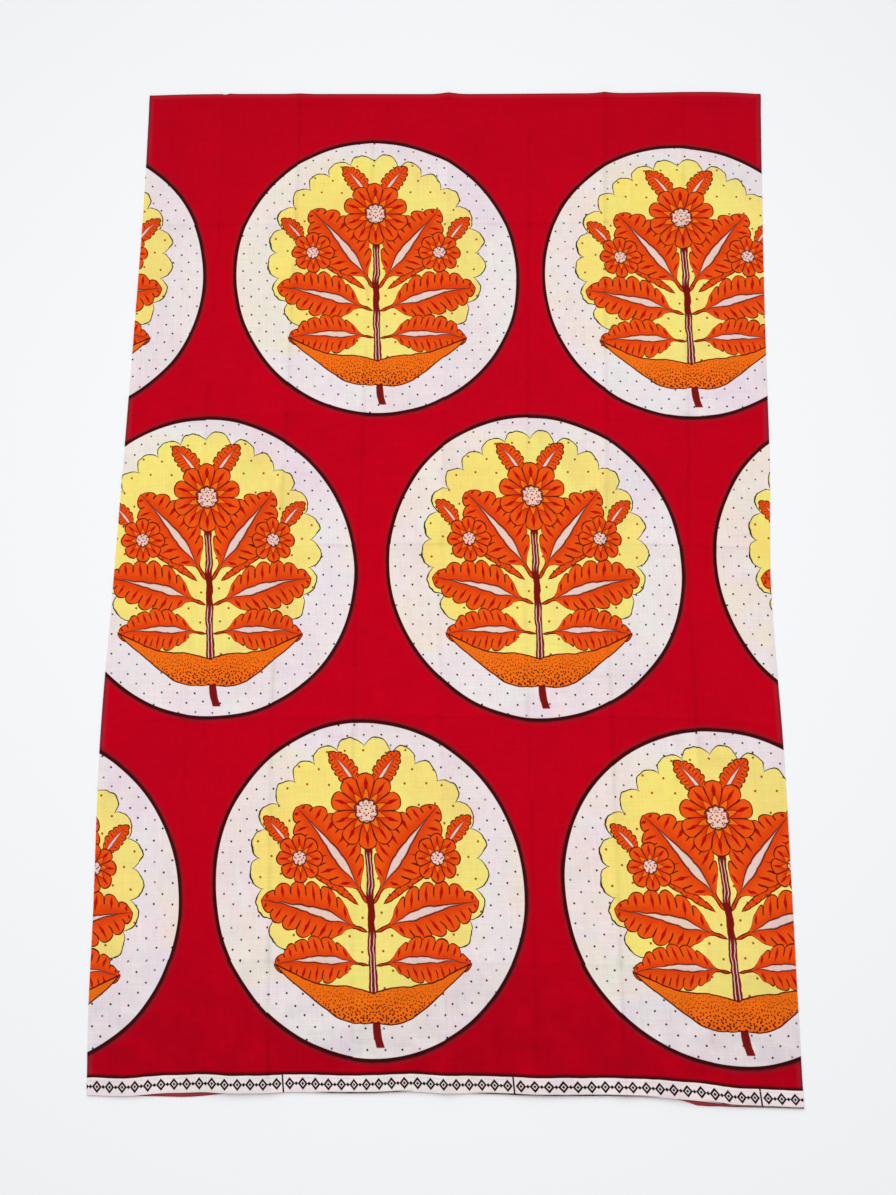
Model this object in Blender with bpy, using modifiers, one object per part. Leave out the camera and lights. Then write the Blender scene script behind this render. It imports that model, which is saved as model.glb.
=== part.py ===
"""Wrapper cloth: a tube of printed cotton, laid flat and doubled.

The front panel lies on the back panel. The front's cloth goes round both side folds and a little
way underneath, where it meets the back panel at a seam. Four narrow hems lie between the panels.
X runs across the cloth, Y up its length and Z up from the surface that it lies on. Metres.
"""

import math

import bmesh
import bpy
import numpy as np

# Driving dimensions
FLAT_WIDTH = 0.750  # the flat tube, side fold to side fold: half of the way round
LENGTH = 1.160  # top edge to foot edge along the left side
WALL = 0.0010  # thickness of one layer of cloth
GAP = 0.0003  # air between two layers or across a seam
TOP_HEM = 0.012
FOOT_HEM = 0.015
HEM_STEP = 0.009  # length over which the front comes down from a hem to the back panel
TURN_UNDER = 0.016  # cloth of the front that shows on the underside, at each side fold
HEM_END = 0.004  # a hem stops this far inside a side fold
LOFT = 0.0010  # air that the doubled cloth keeps between its creases
PRESSED_SIDE = 0.045  # strip beside a side fold where the relief dies away

# Layers between the table and the front's outer side, with and without the two hems
FLAT_STACK = 2 * WALL + GAP
HEM_STACK = 4 * WALL + 3 * GAP

# The loft's own slow waves, counted over the width and over the length, and where they start
LOFT_WAVES = (1.3, 1.1)
LOFT_STARTS = (0.20, 0.35)

# Grid spacing
MESH_STEP = 0.055
NEAREST_LINES = 0.0035
FLANK_LINE = 0.8  # share of a crease's reach at which its flank has a grid line
FOLD_STEPS = 6
BACK_COLUMNS = 24
BACK_ROWS = 20
OUTLINE_SAMPLES = 400

# The side edges, as laid: how far each lies to the right of its straight place
SIDE_DRIFT = (
    # share of length, left edge, right edge
    (0.00, -0.0037, -0.0026),
    (0.06, -0.0065, -0.0031),
    (0.16, -0.0073, -0.0034),
    (0.32, -0.0097, -0.0046),
    (0.48, -0.0040, -0.0094),
    (0.60, 0.0001, -0.0035),
    (0.72, 0.0041, -0.0012),
    (0.89, 0.0086, 0.0040),
    (1.00, 0.0091, 0.0086),
)

# The top and foot edges: how far each lies above its straight place
END_DRIFT = (
    # share of width, top edge, foot edge of the front, foot edge of the back
    (0.00, -0.0035, -0.0018, -0.0010),
    (0.08, -0.0022, -0.0008, -0.0012),
    (0.21, -0.0012, 0.0021, -0.0019),
    (0.29, -0.0010, 0.0022, 0.0024),
    (0.50, 0.0004, 0.0008, 0.0012),
    (0.70, 0.0016, -0.0012, -0.0004),
    (0.80, 0.0020, -0.0039, -0.0044),
    (0.86, 0.0026, -0.0076, -0.0117),
    (0.93, 0.0024, -0.0121, -0.0134),
    (1.00, -0.0006, -0.0141, -0.0138),
)

# Press creases, each a soft straight ridge
CREASES = (
    # from share of width, of length, to share of width, of length, height, reach
    (0.253, 0.00, 0.246, 1.00, 0.0013, 0.020),
    (0.503, 0.00, 0.489, 1.00, 0.0024, 0.024),
    (0.752, 0.00, 0.744, 1.00, 0.0021, 0.022),
    (0.125, 0.02, 0.123, 0.98, 0.0007, 0.017),
    (0.372, 0.05, 0.367, 0.97, 0.0009, 0.018),
    (0.630, 0.02, 0.622, 0.96, 0.0008, 0.017),
    (0.876, 0.05, 0.872, 0.99, 0.0010, 0.018),
    (0.05, 0.643, 0.95, 0.645, 0.0011, 0.021),
    (0.30, 0.509, 0.97, 0.512, 0.0017, 0.022),
    (0.06, 0.338, 0.95, 0.342, 0.0015, 0.022),
    (0.20, 0.116, 0.96, 0.113, 0.0016, 0.020),
    (0.04, 0.850, 0.90, 0.852, 0.0007, 0.018),
)

# Low waves that run up from the foot edge, where the front stands off the surface
FOOT_WAVES = (
    # share of width, height, half of its width, length up the cloth
    (0.205, 0.0022, 0.060, 0.070),
    (0.450, 0.0008, 0.070, 0.050),
    (0.640, 0.0011, 0.055, 0.060),
    (0.850, 0.0026, 0.065, 0.085),
)

CORNER_RADIUS = 0.006  # the rounded corner at the top right

# sRGB colours, roughness
FINISHES = {
    "printed_cotton": ((176, 1, 26), 0.85),
    "cotton_underside": ((168, 4, 28), 0.88),
    "turned_margin": ((158, 14, 38), 0.88),
}


def clear_scene():
    for thing in list(bpy.data.objects):
        bpy.data.objects.remove(thing, do_unlink=True)


def linear(channel):
    value = channel / 255
    return value / 12.92 if value <= 0.04045 else ((value + 0.055) / 1.055) ** 2.4


def finish(name):
    material = bpy.data.materials.get(name)
    if material:
        return material
    colour, roughness = FINISHES[name]
    material = bpy.data.materials.new(name)
    material.use_nodes = True
    shader = material.node_tree.nodes["Principled BSDF"]
    shader.inputs["Base Color"].default_value = (*map(linear, colour), 1)
    shader.inputs["Roughness"].default_value = roughness
    shader.inputs["Metallic"].default_value = 0
    material.diffuse_color = (*map(linear, colour), 1)
    return material


def along(table, column, at):
    """A smooth curve through one column of a table, read at a value of its first column."""
    rows = np.array(table, dtype=float)
    places, values = rows[:, 0], rows[:, column]
    slopes = np.gradient(values, places)
    at = min(max(at, places[0]), places[-1])
    i = min(int(np.searchsorted(places, at, side="right")) - 1, len(places) - 2)
    span = places[i + 1] - places[i]
    k = (at - places[i]) / span
    return float(
        values[i] * (2 * k**3 - 3 * k**2 + 1)
        + values[i + 1] * (3 * k**2 - 2 * k**3)
        + span * slopes[i] * (k**3 - 2 * k**2 + k)
        + span * slopes[i + 1] * (k**3 - k**2)
    )


def soft(k):
    """0 to 1 with level ends."""
    k = min(max(k, 0.0), 1.0)
    return k * k * (3 - 2 * k)


def side_edges(t):
    left = -FLAT_WIDTH / 2 + along(SIDE_DRIFT, 1, t)
    right = FLAT_WIDTH / 2 + along(SIDE_DRIFT, 2, t)
    return left, right


def corner_drop(from_right):
    """How far the top edge falls at the rounded corner, this far from the right edge."""
    into = CORNER_RADIUS - min(from_right, CORNER_RADIUS)
    return CORNER_RADIUS - math.sqrt(CORNER_RADIUS**2 - into**2)


def end_edges(s, back=False):
    foot = -LENGTH / 2 + along(END_DRIFT, 3 if back else 2, s)
    top = LENGTH / 2 + along(END_DRIFT, 1, s) - corner_drop((1 - s) * FLAT_WIDTH)
    return foot, top


def shares(count):
    return [i / count for i in range(count + 1)]


def outline_middle():
    """The middle of the laid outline, which becomes the origin."""
    steps = shares(OUTLINE_SAMPLES)
    sides = [side_edges(t) for t in steps]
    ends = [end_edges(s, back) for s in steps for back in (False, True)]
    xs = (min(left for left, _ in sides), max(right for _, right in sides))
    ys = (min(foot for foot, _ in ends), max(top for _, top in ends))
    return sum(xs) / 2, sum(ys) / 2


def plan(s, t, middle, back=False):
    """Where a share of the width and of the length lies on the table."""
    left, right = side_edges(t)
    foot, top = end_edges(s, back)
    return left + (right - left) * s - middle[0], foot + (top - foot) * t - middle[1]


def ridge(s, t, crease):
    s0, t0, s1, t1, height, reach = crease
    start = np.array((s0 * FLAT_WIDTH, t0 * LENGTH))
    run = np.array((s1 * FLAT_WIDTH, t1 * LENGTH)) - start
    here = np.array((s * FLAT_WIDTH, t * LENGTH)) - start
    length = float(np.hypot(*run))
    forward = float(here @ run) / length
    aside = abs(float(here[0] * run[1] - here[1] * run[0])) / length
    if aside >= reach:
        return 0.0
    ends = soft(1 + forward / reach) * soft(1 + (length - forward) / reach)
    return height * ends * (1 + math.cos(math.pi * aside / reach)) / 2


def foot_wave(s, t, wave):
    place, height, half_width, length = wave
    aside = abs(s - place) * FLAT_WIDTH
    if aside >= half_width:
        return 0.0
    across = (1 + math.cos(math.pi * aside / half_width)) / 2
    return height * across * (1 - soft(t * LENGTH / length))


def relief(s, t):
    """Height of the front above the layers pressed flat."""
    waves = [
        math.sin(2 * math.pi * (count * share + start))
        for count, share, start in zip(LOFT_WAVES, (s, t), LOFT_STARTS)
    ]
    height = LOFT * (1 + waves[0] * waves[1]) / 2
    height += max(ridge(s, t, crease) for crease in CREASES)
    height += sum(foot_wave(s, t, wave) for wave in FOOT_WAVES)
    return height * soft(min(s, 1 - s) * FLAT_WIDTH / PRESSED_SIDE)


def hem_share(t):
    """1 over a hem, 0 where the two panels lie on each other."""
    below_top = (1 - t) * LENGTH - TOP_HEM
    above_foot = t * LENGTH - FOOT_HEM
    return 1 - soft(min(below_top, above_foot) / HEM_STEP)


def stack(t):
    return FLAT_STACK + (HEM_STACK - FLAT_STACK) * hem_share(t)


def front_height(s, t):
    return stack(t) + relief(s, t)


def grid_lines(wanted, size):
    """Shares from 0 to 1: the wanted ones, and others between them at about the mesh step."""
    lines = [0.0]
    for share in sorted(wanted) + [1.0]:
        room = (share - lines[-1]) * size
        if room < NEAREST_LINES and share < 1:
            continue
        steps = max(1, math.ceil(room / MESH_STEP - 0.2))
        first = lines[-1]
        lines += [first + (share - first) * (i + 1) / steps for i in range(steps)]
    return lines


def crease_lines(runs_up, size):
    """A grid line on each crease that runs this way, and one on each of its flanks."""
    wanted = []
    for s0, t0, s1, t1, _, reach in CREASES:
        if (abs(t1 - t0) > abs(s1 - s0)) != runs_up:
            continue
        middle = (s0 + s1) / 2 if runs_up else (t0 + t1) / 2
        flank = FLANK_LINE * reach / size
        wanted += [middle - flank, middle, middle + flank]
    return wanted


def width_lines():
    wanted = crease_lines(True, FLAT_WIDTH)
    for inset in (CORNER_RADIUS / 2, CORNER_RADIUS):
        wanted += [inset / FLAT_WIDTH, 1 - inset / FLAT_WIDTH]
    return grid_lines(wanted, FLAT_WIDTH)


def length_lines():
    wanted = crease_lines(False, LENGTH)
    for part in shares(2):
        wanted.append((FOOT_HEM + HEM_STEP * part) / LENGTH)
        wanted.append(1 - (TOP_HEM + HEM_STEP * part) / LENGTH)
    return grid_lines(wanted, LENGTH)


def sheet(name, rows, finish_name, collection):
    """An open surface through rows of points, given its wall downwards or inwards."""
    across, up = len(rows[0]), len(rows)
    shell = bmesh.new()
    bmesh.ops.create_grid(shell, x_segments=across - 1, y_segments=up - 1, size=0.5)
    by_row = sorted(shell.verts, key=lambda corner: (round(corner.co.y, 5), corner.co.x))
    for corner, point in zip(by_row, (point for row in rows for point in row)):
        corner.co = point
    bmesh.ops.recalc_face_normals(shell, faces=shell.faces)
    if sum(face.normal.z * face.calc_area() for face in shell.faces) < 0:
        bmesh.ops.reverse_faces(shell, faces=shell.faces)
    mesh = bpy.data.meshes.new(name)
    shell.to_mesh(mesh)
    shell.free()
    mesh.shade_smooth()
    thing = bpy.data.objects.new(name, mesh)
    mesh.materials.append(finish(finish_name))
    wall = thing.modifiers.new("wall", "SOLIDIFY")
    wall.thickness = WALL
    wall.offset = -1
    wall.use_even_offset = True
    collection.objects.link(thing)
    return thing


def fold_points(edge, side, y, height):
    """The half round of a side fold and the cloth it carries underneath, from the top down."""
    radius = height / 2
    points = []
    for i in range(FOLD_STEPS + 1):
        angle = math.pi / 2 - math.pi * i / FOLD_STEPS
        points.append((edge - side * radius * (1 - math.cos(angle)), y, radius + radius * math.sin(angle)))
    points.append((edge - side * TURN_UNDER, y, 0.0))
    return points


def front_rows(middle):
    rows = []
    margin = NEAREST_LINES / FLAT_WIDTH
    inner = [s for s in width_lines() if margin < s < 1 - margin]
    for t in length_lines():
        left, left_y = plan(0, t, middle)
        right, right_y = plan(1, t, middle)
        top = [(*plan(s, t, middle), front_height(s, t)) for s in inner]
        start = fold_points(left, -1, left_y, stack(t))[::-1]
        rows.append(start + top + fold_points(right, 1, right_y, stack(t)))
    return rows


def back_rows(middle):
    """The back panel is flat, and stops a gap short of the cloth turned under at each side."""
    rows = []
    for t in shares(BACK_ROWS):
        left, right = (plan(s, t, middle, back=True)[0] for s in (0, 1))
        inset = (TURN_UNDER + GAP) / (right - left)
        places = [inset + (1 - 2 * inset) * share for share in shares(BACK_COLUMNS)]
        rows.append([(*plan(s, t, middle, back=True), WALL) for s in places])
    return rows


def hem_rows(middle, at_top, front):
    """A hem lies between the panels: the back's flat on the back panel, the front's under the front."""
    depth = (TOP_HEM if at_top else FOOT_HEM) / LENGTH
    first = 1 - depth if at_top else 0
    rows = []
    for t in (first, first + depth / 2, first + depth):
        left, right = (plan(s, t, middle, back=not front)[0] for s in (0, 1))
        inset, margin = HEM_END / (right - left), (HEM_END + NEAREST_LINES) / (right - left)
        inner = [s for s in width_lines() if margin < s < 1 - margin]
        row = []
        for s in (inset, *inner, 1 - inset):
            height = front_height(s, t) - WALL - GAP if front else FLAT_STACK
            row.append((*plan(s, t, middle, back=not front), height))
        rows.append(row)
    return rows


def build():
    clear_scene()
    collection = bpy.data.collections.new("wrapper_cloth")
    bpy.context.scene.collection.children.link(collection)
    middle = outline_middle()
    sheet("front_panel", front_rows(middle), "printed_cotton", collection)
    sheet("back_panel", back_rows(middle), "cotton_underside", collection)
    for end, at_top in (("top_hem", True), ("foot_hem", False)):
        for face, front in (("front", True), ("back", False)):
            sheet(f"{end}_{face}", hem_rows(middle, at_top, front), "turned_margin", collection)


build()
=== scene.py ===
"""Looks of the wrapper cloth: a tube of printed cotton, laid flat and doubled on a pale floor.

The front shell goes round both side folds, the back shell lies between its turned edges, and four
narrow hems lie between the two. Rows of stitches hold the hems, and two more the sides. One printed
cotton paints the shells: it reads where a point lies on the print, how far it is from the ends, the
side folds and the creases, and what print lies underneath. All sizes are in metres.
"""

import math

import bmesh
import bpy
import numpy as np
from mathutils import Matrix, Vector


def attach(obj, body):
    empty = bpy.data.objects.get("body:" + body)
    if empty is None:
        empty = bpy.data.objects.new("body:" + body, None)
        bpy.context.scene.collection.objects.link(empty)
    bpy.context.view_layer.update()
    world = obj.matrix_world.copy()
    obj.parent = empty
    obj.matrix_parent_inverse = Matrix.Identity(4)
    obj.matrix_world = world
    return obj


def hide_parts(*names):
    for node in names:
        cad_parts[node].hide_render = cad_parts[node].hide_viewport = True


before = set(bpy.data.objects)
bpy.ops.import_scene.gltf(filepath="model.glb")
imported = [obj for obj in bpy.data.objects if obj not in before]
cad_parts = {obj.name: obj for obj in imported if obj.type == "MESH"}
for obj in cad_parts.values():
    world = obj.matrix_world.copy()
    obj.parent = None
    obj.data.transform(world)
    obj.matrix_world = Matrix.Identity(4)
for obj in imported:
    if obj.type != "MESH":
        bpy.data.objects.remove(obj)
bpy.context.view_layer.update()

# The cloth, as the construction has it, but for its wall and the gaps between its layers
FLAT_WIDTH = 0.750
LENGTH = 1.160
GAP = 0.0002
TOP_HEM = 0.012
FOOT_HEM = 0.015
HEM_STEP = 0.009
TURN_UNDER = 0.016
HEM_END = 0.004
LOFT = 0.0010
PRESSED_SIDE = 0.045
WALL = 0.0003  # under a third of the construction's, so the layers lie closer together
FLAT_STACK = 2 * WALL + GAP
HEM_STACK = 4 * WALL + 3 * GAP
LOFT_WAVES = (1.3, 1.1)
LOFT_STARTS = (0.20, 0.35)
CORNER_RADIUS = 0.006
PANELS = 8  # across the cloth, between upright creases
PANEL = FLAT_WIDTH / PANELS

SIDE_DRIFT = (
    # share of length, left edge, right edge
    (0.00, -0.0037, -0.0026),
    (0.06, -0.0065, -0.0031),
    (0.16, -0.0073, -0.0034),
    (0.32, -0.0097, -0.0046),
    (0.48, -0.0040, -0.0094),
    (0.60, 0.0001, -0.0035),
    (0.72, 0.0041, -0.0012),
    (0.89, 0.0086, 0.0040),
    (1.00, 0.0091, 0.0086),
)

END_DRIFT = (
    # share of width, top edge, foot edge of the front, foot edge of the back
    (0.00, -0.0035, -0.0018, -0.0010),
    (0.08, -0.0022, -0.0008, -0.0012),
    (0.21, -0.0012, 0.0021, -0.0019),
    (0.29, -0.0010, 0.0022, 0.0024),
    (0.50, 0.0004, 0.0008, 0.0012),
    (0.70, 0.0016, -0.0012, -0.0004),
    (0.80, 0.0020, -0.0039, -0.0044),
    (0.86, 0.0026, -0.0076, -0.0117),
    (0.93, 0.0024, -0.0121, -0.0134),
    (1.00, -0.0006, -0.0141, -0.0138),
)

CREASES = (
    # from share of width, of length, to share of width, of length, height, reach
    (0.253, 0.00, 0.246, 1.00, 0.0013, 0.020),
    (0.503, 0.00, 0.489, 1.00, 0.0024, 0.024),
    (0.752, 0.00, 0.744, 1.00, 0.0021, 0.022),
    (0.125, 0.02, 0.123, 0.98, 0.0007, 0.017),
    (0.372, 0.05, 0.367, 0.97, 0.0009, 0.018),
    (0.630, 0.02, 0.622, 0.96, 0.0008, 0.017),
    (0.876, 0.05, 0.872, 0.99, 0.0010, 0.018),
    (0.05, 0.643, 0.95, 0.645, 0.0011, 0.021),
    (0.30, 0.509, 0.97, 0.512, 0.0017, 0.022),
    (0.06, 0.338, 0.95, 0.342, 0.0015, 0.022),
    (0.20, 0.116, 0.96, 0.113, 0.0016, 0.020),
    (0.04, 0.850, 0.90, 0.852, 0.0007, 0.018),
)

FOOT_WAVES = (
    # share of width, height, half of its width, length up the cloth
    (0.205, 0.0022, 0.060, 0.070),
    (0.450, 0.0008, 0.070, 0.050),
    (0.640, 0.0011, 0.055, 0.060),
    (0.850, 0.0026, 0.065, 0.085),
)

# Finer form, on the visible shells alone
LIP = WALL + GAP / 2  # radius of the rolled edge at the top and the foot
FOLD_LIP = 0.5  # share of it where the rolled edge goes round a side fold
LIP_STEPS = 6
FOLD_STEPS = 8
MESH_STEP = 0.0064
BESIDE_CREASE = (0.0012, 0.0030, 0.0065, 0.0120)  # where the mesh has lines beside a crease
NEAREST_LINES = 0.0009
BACK_LINES = (61, 91)  # mesh lines across and up
HEM_LINES = (121, 4)
SHARP_SHARE = 0.30  # share of a crease's height in its narrow top
SHARP_REACH = 0.0022
CREASE_SEEN = 0.030  # a crease's painted shade is read no further away than this

WRINKLES = (
    # from share of width, of length, to share of width, of length, height, reach
    (0.788, 0.556, 0.735, 0.505, 0.0007, 0.009),
    (0.700, 0.430, 0.662, 0.389, 0.0006, 0.010),
    (0.655, 0.432, 0.705, 0.398, -0.0005, 0.010),
    (0.520, 0.137, 0.700, 0.128, -0.0007, 0.010),
    (0.560, 0.104, 0.780, 0.098, 0.0006, 0.011),
    (0.840, 0.190, 0.930, 0.150, 0.0006, 0.010),
    (0.080, 0.590, 0.180, 0.612, 0.0005, 0.012),
    (0.300, 0.925, 0.420, 0.905, -0.0004, 0.011),
)

TOP_KINKS = (
    # share of width, height, half of its width
    (0.124, -0.0009, 0.004),
    (0.134, 0.0008, 0.005),
    (0.489, 0.0009, 0.014),
    (0.744, 0.0006, 0.010),
)

FOOT_SHIFTS = (
    # share of width, how far the front's foot edge is further up, and the back's
    (0.00, 0.0008, -0.0004),
    (0.06, -0.0004, -0.0006),
    (0.105, 0.0016, -0.0006),
    (0.14, 0.0013, -0.0005),
    (0.165, 0.0013, 0.0010),
    (0.19, -0.0003, 0.0027),
    (0.23, -0.0010, 0.0036),
    (0.29, 0.0001, 0.0012),
    (0.34, -0.0007, 0.0010),
    (0.40, -0.0003, 0.0012),
    (0.45, 0.0016, 0.0022),
    (0.49, 0.0005, 0.0014),
    (0.53, 0.0003, 0.0010),
    (0.58, -0.0001, 0.0010),
    (0.62, -0.0010, 0.0010),
    (0.69, -0.0004, 0.0012),
    (0.745, 0.0007, 0.0022),
    (0.79, 0.0008, 0.0012),
    (0.828, 0.0012, 0.0024),
    (0.852, 0.0014, -0.0002),
    (0.868, 0.0009, 0.0003),
    (0.884, 0.0003, 0.0009),
    (0.902, -0.0005, 0.0005),
    (0.93, 0.0001, 0.0004),
    (1.00, -0.0003, -0.0002),
)

TOP_SHIFTS = (
    # share of width, how far the top edge is further up
    (0.00, -0.0004),
    (0.10, -0.0004),
    (0.20, -0.0008),
    (0.35, -0.0013),
    (0.46, -0.0022),
    (0.56, -0.0027),
    (0.72, -0.0028),
    (0.86, -0.0023),
    (1.00, -0.0012),
)

# Rows of stitches: how far from the edge they follow, and the stitches in them
TOP_SEEN = 0.0104  # the visible hems' depths
FOOT_SEEN = 0.0172
TOP_ROW = 0.0076
FOOT_ROW = 0.0150
SEAM_ROW = TURN_UNDER - 0.0025
STITCH_PITCH = 0.0032
STITCH_LENGTH = 0.0026
THREAD_WIDTH = 0.00045
STITCH_RISE = 0.0003

# The print: rounds on a red ground, a printed strip along the foot
ROUND = 0.167
PITCH = 0.375
ROW = 0.339
ROWS_DOWN = 2

PRINT_LIES = (
    # column, row down, middle across, middle up, half width, half height, lean
    (-1.0, 0, -0.4571, 0.3449, 0.1674, 0.1715, 0.026),
    (0.0, 0, -0.0846, 0.3456, 0.1669, 0.1715, 0.026),
    (1.0, 0, 0.2834, 0.3403, 0.1684, 0.1706, 0.028),
    (-0.5, 1, -0.2712, -0.0073, 0.1655, 0.1718, 0.058),
    (0.5, 1, 0.1002, -0.0062, 0.1656, 0.1744, 0.031),
    (1.5, 1, 0.4720, -0.0068, 0.1663, 0.1744, 0.037),
    (-1.0, 2, -0.4577, -0.3736, 0.1673, 0.1757, 0.050),
    (0.0, 2, -0.0839, -0.3627, 0.1667, 0.1757, 0.052),
    (1.0, 2, 0.3005, -0.3709, 0.1735, 0.1750, 0.080),
)
HOLD = 6  # how firmly each round keeps its own place against its neighbours'
ROUND_THE_TUBE = 4  # rounds in a row, once round it
BACK_SHIFT = 0.115  # the back's print past the front's, at the seams

WRINKLE_SHADES = (
    # painted shade of fine pressed wrinkles, from a place on the print to another, and how dark
    (0.3751, -0.1996, 0.3553, -0.2818, 0.13),
    (0.3553, -0.2818, 0.2872, -0.3575, 0.11),
    (0.3629, -0.3164, 0.3876, -0.3160, 0.12),
    (-0.0560, -0.5760, 0.0420, -0.5900, 0.06),
    (0.2060, -0.5680, 0.2560, -0.6600, 0.06),
    (-0.1330, 0.1010, -0.0850, 0.0420, 0.05),
)


def along(table, column, at):
    """A smooth curve through one column of a table, read at values of its first column."""
    rows = np.array(table, dtype=float)
    places, values = rows[:, 0], rows[:, column]
    slopes = np.gradient(values, places)
    at = np.clip(at, places[0], places[-1])
    i = np.clip(np.searchsorted(places, at, side="right") - 1, 0, len(places) - 2)
    span = places[i + 1] - places[i]
    k = (at - places[i]) / span
    return (
        values[i] * (2 * k**3 - 3 * k**2 + 1)
        + values[i + 1] * (3 * k**2 - 2 * k**3)
        + span * slopes[i] * (k**3 - 2 * k**2 + k)
        + span * slopes[i + 1] * (k**3 - k**2)
    )


def soft(k):
    """0 to 1 with level ends."""
    k = np.clip(k, 0.0, 1.0)
    return k * k * (3 - 2 * k)


def hump(aside, reach):
    """1 in the middle, 0 from its reach on."""
    return (1 + np.cos(np.pi * np.clip(aside / reach, 0, 1))) / 2


def side_edges(t):
    left = -FLAT_WIDTH / 2 + along(SIDE_DRIFT, 1, t)
    right = FLAT_WIDTH / 2 + along(SIDE_DRIFT, 2, t)
    return left, right


def built_ends(s, back=False):
    """The foot edge and the top edge, as the construction has them."""
    into = CORNER_RADIUS - np.minimum((1 - s) * FLAT_WIDTH, CORNER_RADIUS)
    drop = CORNER_RADIUS - np.sqrt(CORNER_RADIUS**2 - into**2)
    foot = -LENGTH / 2 + along(END_DRIFT, 3 if back else 2, s)
    return foot, LENGTH / 2 + along(END_DRIFT, 1, s) - drop


def end_edges(s, back=False):
    """The same two edges of the visible shells."""
    foot, top = built_ends(s, back)
    kinks = sum(height * hump(abs(s - at) * FLAT_WIDTH, half) for at, height, half in TOP_KINKS)
    return foot + along(FOOT_SHIFTS, 2 if back else 1, s), top + along(TOP_SHIFTS, 1, s) + kinks


def outline_middle():
    """The middle of the laid outline, which is the frame's origin."""
    steps = np.linspace(0, 1, 401)
    left, right = side_edges(steps)
    ends = [built_ends(steps, back) for back in (False, True)]
    feet = min(foot.min() for foot, _ in ends)
    tops = max(top.max() for _, top in ends)
    return (left.min() + right.max()) / 2, (feet + tops) / 2


MIDDLE = outline_middle()


def plan(s, t, back=False):
    """Where a share of the width and of the length lies on the table."""
    left, right = side_edges(t)
    foot, top = end_edges(s, back)
    return left + (right - left) * s - MIDDLE[0], foot + (top - foot) * t - MIDDLE[1]


def beside(s, t, line):
    """Distance from a line drawn on the flat cloth, and how far inside its ends a point lies."""
    s0, t0, s1, t1 = line
    run_x, run_y = (s1 - s0) * FLAT_WIDTH, (t1 - t0) * LENGTH
    here_x, here_y = (s - s0) * FLAT_WIDTH, (t - t0) * LENGTH
    length = math.hypot(run_x, run_y)
    forward = (here_x * run_x + here_y * run_y) / length
    aside = np.abs(here_x * run_y - here_y * run_x) / length
    return aside, forward, length


def unevenness(along_line, start):
    """A slow wander between 0.55 and 1 along a crease."""
    turns = np.sin(along_line * 31 + start * 7) + np.sin(along_line * 73 + start * 13)
    return 0.775 + 0.1125 * turns


def crease_height(s, t, crease, number):
    *line, height, reach = crease
    aside, forward, length = beside(s, t, line)
    ends = soft(1 + forward / reach) * soft(1 + (length - forward) / reach)
    top = SHARP_SHARE * np.exp(-aside / SHARP_REACH) * unevenness(forward, number)
    return height * ends * ((1 - SHARP_SHARE) * hump(aside, reach) + top)


def wrinkle_height(s, t, wrinkle, number):
    *line, height, reach = wrinkle
    aside, forward, length = beside(s, t, line)
    ends = soft(forward / length * 3) * soft((length - forward) / length * 3)
    return height * ends * hump(aside, reach) * unevenness(forward, number)


def foot_wave(s, t, wave):
    place, height, half_width, length = wave
    return height * hump(abs(s - place) * FLAT_WIDTH, half_width) * (1 - soft(t * LENGTH / length))


def relief(s, t):
    """Height of the front above the layers pressed flat."""
    across, up = (
        np.sin(2 * np.pi * (count * share + start))
        for count, share, start in zip(LOFT_WAVES, (s, t), LOFT_STARTS)
    )
    height = LOFT * (1 + across * up) / 2
    ridges = [crease_height(s, t, crease, i) for i, crease in enumerate(CREASES)]
    height = height + np.max(ridges, axis=0)
    height = height + sum(foot_wave(s, t, wave) for wave in FOOT_WAVES)
    height = height + sum(wrinkle_height(s, t, wrinkle, i) for i, wrinkle in enumerate(WRINKLES))
    return height * soft(np.minimum(s, 1 - s) * FLAT_WIDTH / PRESSED_SIDE)


def stack(t):
    """The layers between the floor and the front's outer side, pressed flat."""
    inside = np.minimum((1 - t) * LENGTH - TOP_HEM, t * LENGTH - FOOT_HEM)
    return FLAT_STACK + (HEM_STACK - FLAT_STACK) * (1 - soft(inside / HEM_STEP))


def front_height(s, t):
    return stack(t) + relief(s, t)


def print_place(x, y):
    """Where on the print a point of the laid front lies, with the first round's middle at 0, 0."""
    across, up, total = 0.0, 0.0, 0.0
    for column, row, middle_x, middle_y, half_width, half_height, lean in PRINT_LIES:
        dx, dy = x - middle_x, y - middle_y
        weight = (dx * dx + dy * dy + 1e-4) ** -HOLD
        across = across + weight * (column * PITCH + ROUND * (dx + lean * dy) / half_width)
        up = up + weight * (ROUND * dy / half_height - row * ROW)
        total = total + weight
    return across / total, up / total


def print_under(x, y, left, right, shift=0.0):
    """The same for the layer beneath, whose print goes on round the side folds or starts elsewhere."""
    left_print, right_print = (print_place(edge, y)[0] for edge in (left, right))
    share = (right - x) / (right - left)
    across = right_print + (left_print + ROUND_THE_TUBE * PITCH - right_print) * share + shift
    return across, print_place(x, y)[1]


def lines_between(knots, size):
    """Shares from 0 to 1: on each knot, close beside it, and between knots at the mesh step."""
    wanted = {0.0, 1.0}
    for knot in knots:
        for offset in (0.0, *BESIDE_CREASE):
            wanted |= {knot - offset / size, knot + offset / size}
    kept = [0.0]
    for share in sorted(w for w in wanted if 0 < w < 1):
        if (share - kept[-1]) * size > NEAREST_LINES and (1 - share) * size > NEAREST_LINES:
            kept.append(share)
    kept.append(1.0)
    lines = [0.0]
    for low, high in zip(kept, kept[1:]):
        steps = max(1, math.ceil((high - low) * size / MESH_STEP - 0.2))
        lines += [low + (high - low) * (i + 1) / steps for i in range(steps)]
    return np.array(lines)


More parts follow.
